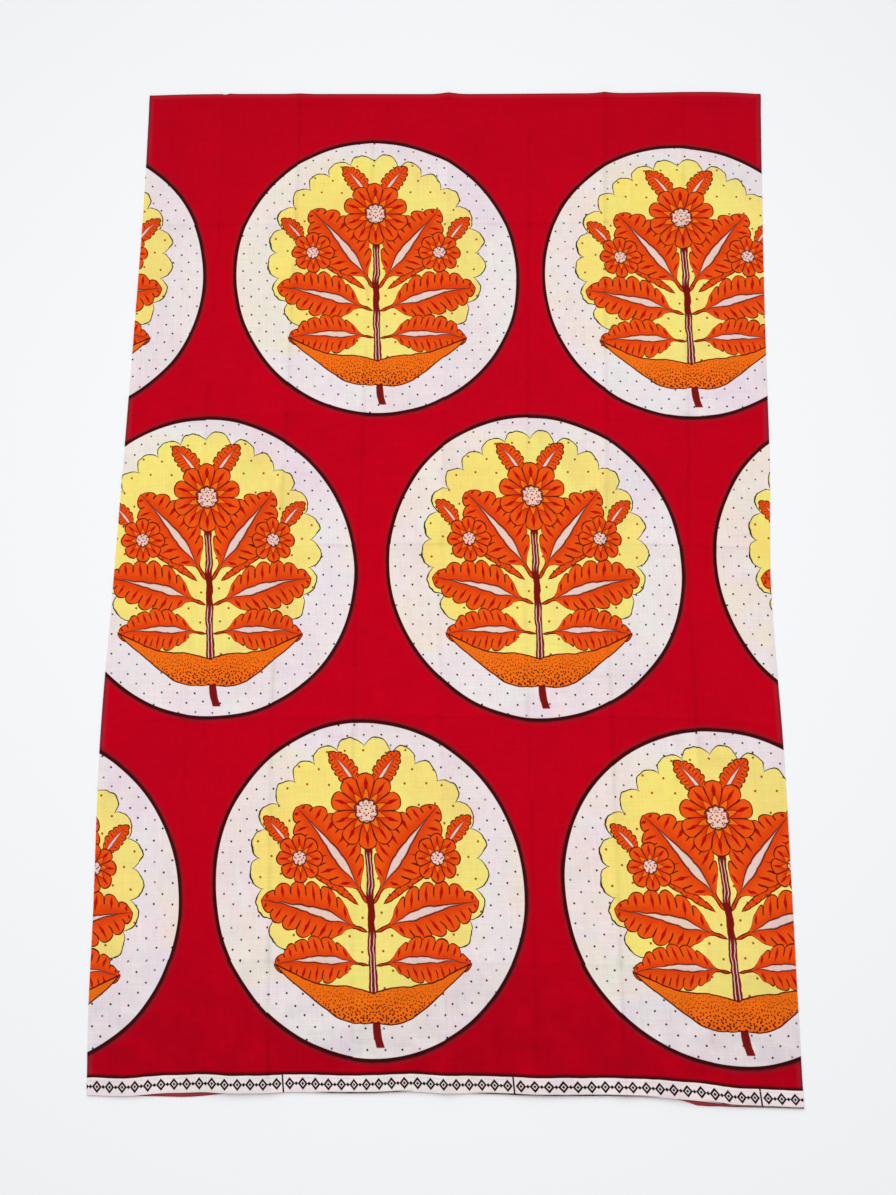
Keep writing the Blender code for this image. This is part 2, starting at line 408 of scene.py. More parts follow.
def crease_knots(runs_up, at):
    """Where the creases that run this way stand, in order, at a share of the other direction."""
    found = []
    for s0, t0, s1, t1, _, _ in CREASES:
        if (abs(t1 - t0) > abs(s1 - s0)) == runs_up:
            start, end, low, high = (s0, s1, t0, t1) if runs_up else (t0, t1, s0, s1)
            found.append((start + end, start + (end - start) * (at - low) / (high - low)))
    return [place for _, place in sorted(found, key=lambda pair: pair[0])]


def crease_counts(s, t):
    """Counts across and up the cloth that are whole numbers on its edges and creases."""
    counts = []
    for runs_up, here, other in ((True, s, t), (False, t, s)):
        knots = [0 * other, *crease_knots(runs_up, other), 0 * other + 1]
        counts.append(sum(np.clip((here - a) / (b - a), 0, 1) for a, b in zip(knots, knots[1:])))
    return counts


def from_creases(s, t):
    """Distances to the nearest crease that runs up the cloth and the nearest one across it."""
    nearest = {True: CREASE_SEEN, False: CREASE_SEEN}
    for s0, t0, s1, t1, _, _ in CREASES:
        aside, forward, length = beside(s, t, (s0, t0, s1, t1))
        past_end = np.maximum(np.maximum(-forward, forward - length), 0)
        runs_up = abs(t1 - t0) > abs(s1 - s0)
        nearest[runs_up] = np.minimum(nearest[runs_up], np.hypot(aside, past_end))
    return nearest[True], nearest[False]


def cloth_grid(hem_lines):
    """Shares of width and length on a grid whose lines run along the creases."""
    across_knots, up_knots = crease_knots(True, 0.5), crease_knots(False, 0.5)
    columns = lines_between(across_knots, FLAT_WIDTH)
    hem_knots = [place / LENGTH for place in hem_lines]
    rows = lines_between(sorted(up_knots + hem_knots), LENGTH)
    s = np.empty((len(rows), len(columns)))
    t = np.empty_like(s)
    for i, row in enumerate(rows):
        s[i] = np.interp(columns, [0, *across_knots, 1], [0, *crease_knots(True, row), 1])
    for j, column in enumerate(columns):
        t[:, j] = np.interp(rows, [0, *up_knots, 1], [0, *crease_knots(False, column), 1])
    return s, t


class Sheet:
    """Rows of points with what the material has to know at each."""

    KEYS = (
        "x", "y", "z", "print_x", "print_y", "under_x", "under_y", "foot", "top",
        "fold_x", "fold_y", "by_upright", "by_level",
    )

    def __init__(self, **arrays):
        shape = np.shape(arrays["x"])
        self.data = {key: np.broadcast_to(arrays[key], shape).astype(float) for key in self.KEYS}

    def join(self, other, axis, before=False):
        first, second = (other, self) if before else (self, other)
        for key in self.KEYS:
            self.data[key] = np.concatenate((first.data[key], second.data[key]), axis=axis)

    def __getitem__(self, key):
        return self.data[key]


def lay(s, t, height, back=False):
    """The print, end and crease distances of points on the front or the back, from their shares."""
    x, y = plan(s, t, back)
    left, right = (edge - MIDDLE[0] for edge in side_edges(t))
    foot, top = (edge - MIDDLE[1] for edge in end_edges(s, back))
    above, below = print_place(x, y), print_under(x, y, left, right, BACK_SHIFT)
    if back:
        above, below = below, above
    fold_x, fold_y = crease_counts(s, t)
    by_upright, by_level = from_creases(s, t)
    return Sheet(
        x=x, y=y, z=height, print_x=above[0], print_y=above[1], under_x=below[0], under_y=below[1],
        foot=y - foot, top=top - y, fold_x=fold_x, fold_y=fold_y, by_upright=by_upright, by_level=by_level,
    )


def folded_side(shell, t, side):
    """The half round of a side fold and the strip turned under, from the top down."""
    left, right = (edge - MIDDLE[0] for edge in side_edges(t))
    edge = left if side < 0 else right
    radius = stack(t) / 2
    angles = np.pi / 2 - np.pi * np.arange(FOLD_STEPS + 1) / FOLD_STEPS
    under = radius * 0 + np.array([[TURN_UNDER / 2, TURN_UNDER]])
    x = np.hstack((edge - side * radius * (1 - np.cos(angles)), edge - side * under))
    z = np.hstack((radius + radius * np.sin(angles), under * 0))
    place = 0 if side < 0 else -1
    fixed = {key: np.repeat(shell[key][:, [place]], x.shape[1], axis=1) for key in Sheet.KEYS}
    y = fixed["y"]
    top_print, under_print = print_place(x, y), print_under(x, y, left, right)
    if side < 0:
        under_print = (under_print[0] - ROUND_THE_TUBE * PITCH, under_print[1])
    past = np.broadcast_to(np.arange(x.shape[1]) > FOLD_STEPS / 2, x.shape)
    fixed.update(
        x=x, z=z, print_x=np.where(past, under_print[0], top_print[0]), print_y=top_print[1],
        under_x=np.where(past, top_print[0], under_print[0]), under_y=top_print[1],
        fold_x=(PANELS if side > 0 else 0) + np.where(past, side, -side) * abs(x - edge) / PANEL,
    )
    return Sheet(**fixed)


def flip_columns(sheet):
    for key in Sheet.KEYS:
        sheet.data[key] = sheet.data[key][:, ::-1]
    return sheet


def roll_end(shell, at_top, inward, radius=LIP):
    """Rolls the last row of a shell in: a half round of the lip's radius, towards its inner side."""
    place = -1 if at_top else 0
    edge = {key: shell[key][place] for key in Sheet.KEYS}
    sign = 1 if at_top else -1
    angles = np.pi / 2 - np.pi * np.arange(1, LIP_STEPS + 1) / LIP_STEPS
    out, fall = radius * np.cos(angles)[:, None], radius * (1 - np.sin(angles))[:, None]
    rows = {key: np.repeat(edge[key][None, :], LIP_STEPS, axis=0) for key in Sheet.KEYS}
    rows["x"] = edge["x"] + inward[0] * fall
    rows["y"] = edge["y"] + sign * out
    rows["z"] = edge["z"] + inward[1] * fall
    past = LIP * (np.pi / 2 - angles)[:, None]
    for near in ("foot", "top"):
        rows[near] = edge[near] + past * sign * (1 if near == "foot" else -1)
    rows["print_y"] = edge["print_y"] + sign * past
    lip = Sheet(**rows)
    if not at_top:
        for key in Sheet.KEYS:
            lip.data[key] = lip.data[key][::-1]
    shell.join(lip, 0, before=not at_top)


def inward_of(x, z):
    """Unit directions to the inner side of a section drawn from the left underneath, over the top."""
    run_x, run_z = np.gradient(x), np.gradient(z)
    length = np.hypot(run_x, run_z)
    return run_z / length, -run_x / length


def end_rows(t):
    """Pulls a grid's first and last rows in by the lip's radius, where the rolled edges start."""
    low, high = LIP / LENGTH, 1 - LIP / LENGTH
    return low + (high - low) * t


def front_sheet():
    """The front, round both side folds, with its two ends rolled in."""
    s, t = cloth_grid((FOOT_HEM, FOOT_HEM + HEM_STEP, LENGTH - TOP_HEM))
    s, t = s[:, 1:-1], end_rows(t)[:, 1:-1]
    shell = lay(s, t, front_height(s, t))
    left = flip_columns(folded_side(shell, t[:, [0]], -1))
    right = folded_side(shell, t[:, [-1]], 1)
    shell.join(left, 1, before=True)
    shell.join(right, 1)
    ends = [inward_of(shell["x"][row], shell["z"][row]) for row in (0, -1)]
    columns = np.arange(shell["x"].shape[1])
    from_side = np.minimum(columns, columns[::-1])
    radius = LIP * (FOLD_LIP + (1 - FOLD_LIP) * soft((from_side - FOLD_STEPS - 2) / 2))
    for at_top, inward in zip((False, True), ends):
        roll_end(shell, at_top, inward, radius)
    return shell


def back_sheet():
    """The back, flat on the floor and facing down, with its two ends rolled in."""
    inset = (TURN_UNDER + GAP) / FLAT_WIDTH
    columns, rows = (np.linspace(0, 1, count) for count in BACK_LINES)
    s, t = np.meshgrid(inset + (1 - 2 * inset) * columns, end_rows(rows))
    shell = flip_columns(lay(s, t, 0.0, back=True))
    for at_top in (False, True):
        level = 0 * shell["x"][0]
        roll_end(shell, at_top, (level, level + 1))
    return shell


def hem_sheet(at_top, front):
    """A margin turned in at one end, under the front or over the back."""
    depth = (TOP_SEEN if at_top else FOOT_SEEN) / LENGTH
    start = (LIP + GAP) / LENGTH
    columns, rows = (np.linspace(0, 1, count) for count in HEM_LINES)
    rows = start + (depth - start) * rows
    rows = 1 - rows[::-1] if at_top else rows
    columns = HEM_END / FLAT_WIDTH + (1 - 2 * HEM_END / FLAT_WIDTH) * columns
    s, t = np.meshgrid(columns, rows)
    height = front_height(s, t) - 2 * LIP + WALL if front else 2 * LIP
    hem = lay(s, t, height, back=not front)
    near = "top" if at_top else "foot"
    hem.data[near] = -LIP * np.pi - hem.data[near]
    return hem


UV_MAPS = {
    "print": ("print_x", "print_y"),
    "under": ("under_x", "under_y"),
    "ends": ("foot", "top"),
    "folds": ("fold_x", "fold_y"),
    "creases": ("by_upright", "by_level"),
}
BAKE_MARGIN = 0.01
OUTER_SHARE = 0.66  # of the bake square's side, for the outer face
INNER_SCALE = 0.45
INNER_CORNER = (BAKE_MARGIN, 0.69)


def bake_square(sheet):
    """Each point's place in the unit square, with the length along it: the outer face's share."""
    step_x = np.hypot(np.diff(sheet["x"], axis=1), np.diff(sheet["z"], axis=1))
    step_y = np.hypot(np.diff(sheet["y"], axis=0), np.diff(sheet["z"], axis=0))
    across = np.concatenate(([0], np.cumsum(step_x.mean(axis=0))))
    up = np.concatenate(([0], np.cumsum(step_y.mean(axis=1))))
    scale = (1 - 2 * BAKE_MARGIN) / max(up[-1], across[-1] / OUTER_SHARE)
    v, u = np.meshgrid(across * scale + BAKE_MARGIN, up * scale + BAKE_MARGIN)
    return u, v


def hang(name, data):
    """A new object in the scene."""
    thing = bpy.data.objects.new(name, data)
    bpy.context.scene.collection.objects.link(thing)
    return thing


def plain_piece(name, raw):
    """What an object's modifier makes of it, as a plain mesh of its own; the first object goes."""
    bpy.context.view_layer.update()
    evaluated = raw.evaluated_get(bpy.context.evaluated_depsgraph_get())
    mesh = bpy.data.meshes.new_from_object(evaluated)
    mesh.name = name
    bpy.data.objects.remove(raw)
    return hang(name, mesh)


def shell_object(name, sheet):
    """A closed thin shell from a sheet, its wall on the inner side, with the sheet's UV maps."""
    rows, columns = sheet["x"].shape
    grid = bmesh.new()
    bmesh.ops.create_grid(grid, x_segments=columns - 1, y_segments=rows - 1, size=0.5)
    grid.verts.ensure_lookup_table()
    by_row = sorted(grid.verts, key=lambda corner: (round(corner.co.y, 6), corner.co.x))
    points = np.stack([sheet[key] for key in ("x", "y", "z")], axis=-1).reshape(-1, 3)
    number = {}
    for i, (corner, point) in enumerate(zip(by_row, points)):
        number[corner.index] = i
        corner.co = point
    maps = {key: np.stack([sheet[a] for a in axes], -1).reshape(-1, 2) for key, axes in UV_MAPS.items()}
    maps["OFBake"] = np.stack(bake_square(sheet), -1).reshape(-1, 2)
    for key, values in maps.items():
        layer = grid.loops.layers.uv.new(key)
        for face in grid.faces:
            for loop in face.loops:
                loop[layer].uv = values[number[loop.vert.index]]
    mesh = bpy.data.meshes.new(name)
    grid.to_mesh(mesh)
    grid.free()
    mesh.shade_smooth()
    outer_faces = len(mesh.polygons)
    open_shell = hang(name + "_open", mesh)
    wall = open_shell.modifiers.new("wall", "SOLIDIFY")
    wall.thickness = WALL
    wall.offset = -1
    wall.use_even_offset = True
    shell = plain_piece(name, open_shell)
    shrink_inner_bake(shell.data, outer_faces)
    return shell


def shrink_inner_bake(mesh, outer_faces):
    """Moves the inner face's part of the bake square beside the outer one's, at a smaller scale."""
    layer = mesh.uv_layers["OFBake"].data
    values = np.empty(len(layer) * 2)
    layer.foreach_get("uv", values)
    values = values.reshape(-1, 2)
    first = mesh.polygons[outer_faces].loop_start
    values[first:] = values[first:] * INNER_SCALE + INNER_CORNER
    layer.foreach_set("uv", values.ravel())


class Number:
    """A value in a tree of nodes: sums on it add the Math nodes that work them out."""

    def __init__(self, nodes, socket):
        self.nodes, self.socket = nodes, socket

    def math(self, operation, *others, clamp=False):
        return self.nodes.add("ShaderNodeMath", {"operation": operation, "use_clamp": clamp}, self, *others)

    def __add__(self, other):
        return self.math("ADD", other)

    def __sub__(self, other):
        return self.math("SUBTRACT", other)

    def __mul__(self, other):
        return self.math("MULTIPLY", other)

    def __truediv__(self, other):
        return self.math("DIVIDE", other)

    def __pow__(self, other):
        return self.math("POWER", other)

    def __abs__(self):
        return self.math("ABSOLUTE")

    def __rsub__(self, other):
        return self.nodes.add("ShaderNodeMath", {"operation": "SUBTRACT"}, other, self)

    __radd__ = __add__

    def sine(self):
        return self.math("SINE")

    def part(self):
        """What is left over the whole number below."""
        return self.math("FRACT")

    def below(self, edge, blur):
        """1 where this is under an edge, 0 over it."""
        if isinstance(edge, Number):
            return (edge - self).math("MULTIPLY_ADD", 1 / blur, 0.5, clamp=True)
        return self.math("MULTIPLY_ADD", -1 / blur, edge / blur + 0.5, clamp=True)

    def above(self, edge, blur):
        """0 where this is under an edge, 1 over it."""
        if isinstance(edge, Number):
            return (self - edge).math("MULTIPLY_ADD", 1 / blur, 0.5, clamp=True)
        return self.math("MULTIPLY_ADD", 1 / blur, 0.5 - edge / blur, clamp=True)

    def near(self, place, half, blur):
        """1 within half a width of a place."""
        return abs(self - place).below(half, blur)


def linear(colour):
    """An sRGB colour out of 255 as the shader's own."""
    shares = [channel / 255 for channel in colour]
    return (*(c / 12.92 if c <= 0.04045 else ((c + 0.055) / 1.055) ** 2.4 for c in shares), 1)


class Nodes:
    """A tree of nodes, and how nodes come into it."""

    def __init__(self, tree):
        self.tree = tree

    def place(self, node, key, value):
        socket = node.inputs[key] if isinstance(key, int) else self.socket_named(node, key)
        if isinstance(value, Number):
            self.tree.links.new(value.socket, socket)
        else:
            socket.default_value = value

    @staticmethod
    def socket_named(node, key):
        return next(s for s in node.inputs if s.enabled and key in (s.name, s.identifier))

    def add(self, kind, settings, *values, output=0, **named):
        """Any node: its settings are set first, then its sockets, by order or by name."""
        node = self.tree.nodes.new(kind)
        for key, value in settings.items():
            setattr(node, key, value)
        for key, value in (*enumerate(values), *named.items()):
            self.place(node, key, value)
        socket = node.outputs[output] if isinstance(output, int) else next(
            s for s in node.outputs if s.enabled and s.name == output
        )
        return Number(self, socket)

    def split(self, vector):
        """The three values of a vector or a colour."""
        first = self.add("ShaderNodeSeparateXYZ", {}, vector)
        return [Number(self, socket) for socket in first.socket.node.outputs]

    def vector(self, x, y, z=0.0):
        return self.add("ShaderNodeCombineXYZ", {}, x, y, z)


class Paint(Nodes):
    """A material and its tree."""

    def __init__(self, name, shader_values):
        self.material = bpy.data.materials.new(name)
        self.material.use_nodes = True
        super().__init__(self.material.node_tree)
        self.shader = self.tree.nodes["Principled BSDF"]
        for socket, value in shader_values.items():
            self.shader.inputs[socket].default_value = value

    def finish(self, height, **links):
        """Links what varies to the shader, with a relief of this height."""
        bump = self.add("ShaderNodeBump", {}, Height=height, Distance=1.0, Strength=1.0)
        for key, value in {**links, "Normal": bump}.items():
            self.place(self.shader, key.replace("_", " "), value)

    def uv(self, name):
        return self.split(self.add("ShaderNodeUVMap", {"uv_map": name}))

    def mix(self, share, under, over, blend="MIX"):
        """Colours mixed: all of the second where the share is 1."""
        settings = {"data_type": "RGBA", "clamp_factor": True, "blend_type": blend}
        return self.add(
            "ShaderNodeMix", settings, output="Result",
            Factor_Float=share, A_Color=self.colour(under), B_Color=self.colour(over),
        )

    def times(self, colour, tint):
        """A colour dimmed by another, or by a plain value, channel by channel."""
        return self.mix(1.0, colour, tint, "MULTIPLY")

    @staticmethod
    def colour(value):
        return value if isinstance(value, Number) else linear(value)

    def noise(self, vector, scale, detail=2.0, roughness=0.5, output=0):
        return self.add(
            "ShaderNodeTexNoise", {}, output=output,
            Vector=vector, Scale=scale, Detail=detail, Roughness=roughness,
        )

    def chances(self, cell):
        """Three chances for each cell, as a colour."""
        return self.add("ShaderNodeTexWhiteNoise", {"noise_dimensions": "2D"}, cell, output="Color")

    def mapped(self, vector, x, y, turn=0.0, size=1.0):
        """The three values of a vector as read from a place, turned and in units of a size."""
        return self.split(self.add(
            "ShaderNodeMapping", {"vector_type": "TEXTURE"},
            Vector=vector, Location=(x, y, 0), Rotation=(0, 0, turn), Scale=(size, size, size),
        ))

    def curve(self, value, points):
        """A value read through a smooth curve."""
        read = self.add("ShaderNodeFloatCurve", {}, Value=value)
        mapping = read.socket.node.mapping
        line = mapping.curves[0].points
        for i, point in enumerate(points):
            if i < len(line):
                line[i].location = point
            else:
                line.new(*point)
        mapping.update()
        return read


# Colours of the print, sRGB
RED_GROUND = (202, 0, 29)
# painted shade: the ground's red where the light falls off, towards the ends and sides
RED_FALLOFF_SHADE = (189, 0, 27)
# painted shade: a narrow darker line along the rolled top edge and the side folds
RED_EDGE_SHADE = (130, 38, 52)
# painted sheen: a paler, greyer red beside the rolled top edge and the side folds
RED_EDGE_SHEEN = (182, 58, 66)
RED_BY_LINE = (74, 40, 46)
# the back's turned foot margin under the front's edge: darker and paler, painted shade and painted sheen
RED_MARGIN_SHADE_SHEEN = (178, 76, 82)
WHITE = (246, 239, 237)
BLACK_LINE = (44, 14, 14)
PIN_DOT = (52, 42, 54)
YELLOW = (255, 240, 133)
YELLOW_LINE = (34, 36, 22)
FIELD_DOT = (168, 92, 24)
LEAF = (245, 90, 20)
LEAF_RED = (228, 58, 16)
LEAF_DEEP = (182, 20, 10)
LEAF_LINE = (92, 20, 10)
LEAF_PALE = (242, 216, 206)
CUP = (252, 118, 24)
STEM = (128, 24, 22)
STRIP = (251, 241, 240)
THREAD_RED = (176, 0, 24)
THREAD_PALE = (226, 218, 216)

# What the layer beneath lends to the colour above it
UNDER_RED = (249, 242, 249)
UNDER_WHITE = (252, 251, 253)
UNDER_YELLOW = (255, 251, 236)
UNDER_LEAVES = (254, 246, 240)
UNDER_FIELD = 0.74 * ROUND
UNDER_SPRIG = 0.46 * ROUND
UNDER_BLUR = 0.007
PLAIN = (255, 255, 255)
BRIGHT = (265, 265, 265)  # over white, so that a grain mixed into it leaves the colour's mean

# How much of each shows in the colour
PANEL_CAST = 0.05
CLOUDS = 0.16
GRAIN = 0.17
MOTTLE = 0.12
SLUBS = 0.22
UPRIGHT_SHADE = 0.0022  # half width of the painted shade line along a crease that runs up the cloth
LEVEL_SHADE = 0.0013  # and along one across it

WEAVE = 2 * math.pi / 0.0007  # a thread over and a thread under in 0.7 mm
WEAVE_DEPTH = 0.00002
CRINKLE = 0.00022
SOFT_SWELL = 0.0009
TWIST = 2 * math.pi / 0.0005  # one ply of the thread in each half millimetre
TWIST_DEPTH = 0.00002
PRINT_WANDER = 0.0040
CREASE_SLIP = 0.0010

STRIP_DEPTH = 0.0178
STRIP_LINE = 0.0032  # the dark line over the strip, which fades upwards
STRIP_RED = 0.0035  # how far above the strip the plain red covers the print
STRIP_REPEAT = 0.2422
FIRST_DIVIDER = 0.1430
DIVIDER = 0.0036  # half of its width, in repeats
DIVIDER_LEAN = 0.15  # in repeats a metre
LOZENGES = 18  # between one divider and the next
LOZENGE_WIDTH = 0.0104
LOZENGE_HEIGHT = 0.0126
PIP = 0.0021  # half of a small lozenge between two others
# stretches of dark line at the foot edge: partly the strip's printed lower line, partly painted shadow
# between the layers
FOOT_LINE_AND_SHADOW = ((-0.015, 0.045), (0.190, 0.087), (0.390, 0.055))  # middle across, half length
FOOT_LINE_UP = 0.0009
FOOT_LINE = 0.0007  # half of its width

LINE_BLUR = 0.0005
HAND_STRAY = 0.0016  # how far a long line strays, as if drawn by hand
ROUND_LINE = 0.0040
ROUND_HALO = 0.0058  # where the dull halo outside the line has half faded
LINE = 0.0007  # half of a drawn line's width inside a round

PIN_DOTS = (0.0187, 0.0108, 0.0022, 0.0011)  # pitch, row height, how far out of place, radius
FIELD_DOTS = (0.0215, 0.0185, 0.006, 0.0013)

# The scalloped yellow field, in round radii
FIELD_UP = 0.17
FIELD_RADIUS = 0.664
FIELD_LOBES = 24
LOBE_DEPTH = 0.070
FIELD_SWELL = 0.012  # four gentle bulges round it
FIELD_DROP = 0.030  # longer towards the foot

# The sprig inside a round, in round radii, from the back to the front
LEAVES = (
    # base across, base up, turn from upright in degrees, length, half width, bend
    (0.04, 0.56, 36, 0.33, 0.080, 0.20),
    (0.50, 0.22, 40, 0.28, 0.066, 0.20),
    (0.01, -0.16, 58, 0.56, 0.032, 0.14),
    (0.02, -0.10, 37, 0.74, 0.188, 0.14),
    (0.02, -0.27, 75, 0.72, 0.171, 0.16),
    (0.02, -0.46, 90, 0.62, 0.146, 0.20),
)
LEAF_SHAPE = (
    # share of the length, share of the half width
    (0.0, 0.0), (0.03, 0.10), (0.12, 0.11), (0.20, 0.55), (0.40, 1.0), (0.66, 0.88), (0.88, 0.46),
    (1.0, 0.0),
)
PALE_SHAPE = ((0.0, 0.0), (0.20, 0.0), (0.36, 0.13), (0.60, 0.08), (0.80, 0.0), (1.0, 0.0))
CUP_SHAPE = ((0.0, 0.92), (0.14, 1.0), (0.34, 0.76), (0.58, 0.42), (0.82, 0.22), (1.0, 0.0))
CUP_LEAF = (0.00, -0.72, 66, 0.72, 0.115, -0.30)
LOBES = 7  # down each side of a leaf
LEAF_SLANT = 0.35  # how far a leaf's lobes and strokes lean towards its tip
LEAF_TRIM = 0.0015  # metres off a leaf's half width, so that it ends at its base and its tip
THIN_LEAF = 0.06  # a leaf whose half width is under this has no pale middle

BLOSSOMS = (
    # middle across, middle up, radius, petals
    (0.45, 0.17, 0.150, 8),
    (0.00, 0.46, 0.235, 10),
)


def from_middle(x, y):
    """Distance from the place where both are 0."""
    return (x * x + y * y).math("SQRT")


def brick_dots(paint, x, y, pitch, row_height, jitter, radius):
    """Round dots in a brick lattice, each a little out of place, and a chance for each."""
    rows = y / row_height
    row = rows.math("FLOOR")
    shifted = x / pitch + row * 0.5
    chance = paint.split(paint.chances(paint.vector(shifted.math("FLOOR"), row)))
    dx = (shifted.part() - 0.5) * pitch + (chance[0] - 0.5) * jitter
    dy = (rows.part() - 0.5) * row_height + (chance[1] - 0.5) * jitter
    return from_middle(dx, dy).below(radius, 0.0006), chance[2]


def over(paint, state, outside, count, share):
    """Lays a new form over what is painted: where it covers, its own place takes over."""
    here = paint.vector(count, share, outside)
    if state is None:
        return here
    return paint.add(
        "ShaderNodeMix", {"data_type": "VECTOR"}, output="Result",
        Factor_Float=outside.below(LINE, 0.0002), A_Vector=state, B_Vector=here,
    )


def leaf_form(paint, mirrored, leaf, shape, lobed=True):
    """How far outside a leaf's outline a point is, its count of lobes and its share of the half width."""
    across, up, turn, length, half, bend = leaf
    size = length * ROUND
    turn = math.radians(90 - turn)
    forward, side, _ = paint.mapped(mirrored, across * ROUND, up * ROUND, turn, size)
    side = abs(forward * (1 - forward) * -bend + side)
    slanted = side * -LEAF_SLANT + forward
    width = paint.curve(slanted, shape) * (half / length)
    if lobed:
        width = width * (abs((slanted * (math.pi * LOBES)).sine()) ** 0.5 * 0.22 + 0.80)
    width = width - LEAF_TRIM / size
    share = side / width.math("MAXIMUM", 0.002)
    if half < THIN_LEAF:
        share = share.math("MAXIMUM", 0.25)
    return (side - width) * size, slanted * LOBES, share


def draw_form(paint, under, colour, outside):
    """Lays a form's colours, with a drawn line round them, over what is painted."""
    colour = paint.mix(outside.above(-LINE, 0.0004), colour, LEAF_LINE)
    return paint.mix(outside.below(LINE, 0.0004), under, colour)


def paint_leaves(paint, under, state):
    """Lays the leaves over a colour: reddish middles, short strokes, cuts and a pale heart."""
    count, share, outside = paint.split(state)
    stroke = abs(count.part() - 0.5)
    colour = paint.mix(share.below(0.40, 0.30) * 0.6, LEAF, LEAF_RED)
    lens = (stroke + abs(share - 0.58) * 0.32).below(0.11, 0.03)
    colour = paint.mix(lens, colour, LEAF_DEEP)
    cut = stroke.above(0.455, 0.03) * share.above(0.55, 0.1)
    colour = paint.mix(cut, colour, LEAF_LINE)
    pale_edge = paint.curve(count / LOBES, PALE_SHAPE)
    colour = paint.mix(share.below(pale_edge + 0.06, 0.04), colour, LEAF_LINE)
    colour = paint.mix(share.below(pale_edge, 0.04), colour, LEAF_PALE)
    return draw_form(paint, under, colour, outside)


def blossom_form(paint, mirrored, blossom):
    """The same three values for a blossom: its petals counted round its middle."""
    across, up, radius, petals = blossom
    x, y, _ = paint.mapped(mirrored, across * ROUND, up * ROUND)
    count = x.math("ARCTAN2", y) * (petals / math.tau) + 0.5
    edge = abs((count * math.pi).sine()) ** 0.45 * (0.24 * radius * ROUND) + 0.76 * radius * ROUND
    far = from_middle(x, y)
    return far - edge, count, far / edge


def paint_blossoms(paint, under, state, speckle):
    """Lays the blossoms over a colour: stroked petals, a star and a speckled middle."""
    count, share, outside = paint.split(state)
    stroke = abs(count.part() - 0.5)
    colour = paint.mix(share.below(0.62, 0.3), LEAF, LEAF_RED)
    lens = (stroke + abs(share - 0.70) * 0.45).below(0.11, 0.03)
    colour = paint.mix(lens, colour, LEAF_DEEP)
    inner = (stroke * 0.6 + share).below(0.56, 0.02)
    colour = paint.mix((stroke * 0.6 + share).below(0.60, 0.02), colour, LEAF_LINE)
    colour = paint.mix(inner, colour, CUP)
    colour = paint.mix(stroke.above(0.45, 0.04) * share.above(0.34, 0.05), colour, LEAF_LINE)
    colour = paint.mix(share.below(0.34, 0.03), colour, LEAF_LINE)
    middle = paint.mix(speckle, LEAF_PALE, LEAF_DEEP)
    colour = paint.mix(share.below(0.29, 0.03), colour, middle)
    return draw_form(paint, under, colour, outside)


def sprig(paint, colour, round_x, round_y, hand):
    """Paints a mirrored sprig of leaves and blossoms over a round's colours."""
    mirrored = paint.vector(abs(round_x) + hand * 0.004, round_y + hand * 0.005)
    cells = paint.add(
        "ShaderNodeTexVoronoi", {"voronoi_dimensions": "2D"}, Vector=mirrored, Scale=300.0, Randomness=0.8
    )
    past_cup = (round_y / ROUND + 0.72).math("MINIMUM", 0.0)
    stem_width = abs(round_x + hand * 0.006 + past_cup * past_cup * -0.11)
    stem_along = round_y.near(-0.32 * ROUND, 0.62 * ROUND, 0.001)
    colour = paint.mix(stem_width.below(0.0042, LINE_BLUR) * stem_along, colour, STEM)
    streak = stem_width.near(0.0018, 0.0004, 0.0004) * (round_y * 60).sine().above(-0.3, 0.4)
    colour = paint.mix(streak * round_y.near(-0.25 * ROUND, 0.45 * ROUND, 0.004), colour, LEAF_PALE)
    state = None
    for leaf in LEAVES:
        state = over(paint, state, *leaf_form(paint, mirrored, leaf, LEAF_SHAPE))
    colour = paint_leaves(paint, colour, state)
    outside, _, _ = leaf_form(paint, mirrored, CUP_LEAF, CUP_SHAPE, lobed=False)
    speckle = cells.below(round_y * (-1.05 / ROUND) - 0.50, 0.08)
    colour = draw_form(paint, colour, paint.mix(speckle, CUP, LEAF_LINE), outside)
    state = None
    for blossom in BLOSSOMS:
        state = over(paint, state, *blossom_form(paint, mirrored, blossom))
    return paint_blossoms(paint, colour, state, cells.below(0.26, 0.08))


def place_in_round(x, y):
    """The point as seen from the middle of its own round; there are three rows of rounds."""
    row = (y / ROW).math("ROUND").math("MAXIMUM", -float(ROWS_DOWN)).math("MINIMUM", 0.0)
    return (row * (PITCH / 2) + x).math("WRAP", PITCH / 2, -PITCH / 2), row * -ROW + y


def from_nearest_round(x, y):
    """Distance to the nearest round's middle, in whichever row: the middle row, or the two beside it."""
    up = y + ROW
    up_beside = abs(up) - ROW
    across = (x + PITCH / 2).math("WRAP", PITCH / 2, -PITCH / 2)
    across_beside = x.math("WRAP", PITCH / 2, -PITCH / 2)
    beside_row = across_beside * across_beside + up_beside * up_beside
    return (across * across + up * up).math("MINIMUM", beside_row).math("SQRT")


def field_outside(round_x, round_y, hand):
    """How far outside the scalloped yellow field a point is."""
    up = round_y - FIELD_UP * ROUND
    far = from_middle(round_x, up)
    angle = round_x.math("ARCTAN2", up)
    lobe = abs((angle * (FIELD_LOBES / 2)).sine()) ** 0.6
    swell = (angle * 4.0).math("COSINE") * FIELD_SWELL
    low = 1.0 - up / far
    edge = lobe * LOBE_DEPTH + low * low * FIELD_DROP + swell + FIELD_RADIUS
    return far - (edge * ROUND + hand * 0.010)


def white_ring_and_field(paint, x, y, round_x, round_y, hand):
    """The inside of a round but for its sprig: dotted white, and the dotted yellow field."""
    dots, strength = brick_dots(paint, x, y, *PIN_DOTS)
    colour = paint.mix(dots * (strength * 0.5 + 0.70), WHITE, PIN_DOT)
    dots, _ = brick_dots(paint, round_x, round_y, *FIELD_DOTS)
    yellow = paint.mix(dots, YELLOW, FIELD_DOT)
    field_out = field_outside(round_x, round_y, hand)
    colour = paint.mix(field_out.below(0.0, LINE_BLUR), colour, yellow)
    return paint.mix(field_out.near(0.0, LINE, 0.0004), colour, YELLOW_LINE)


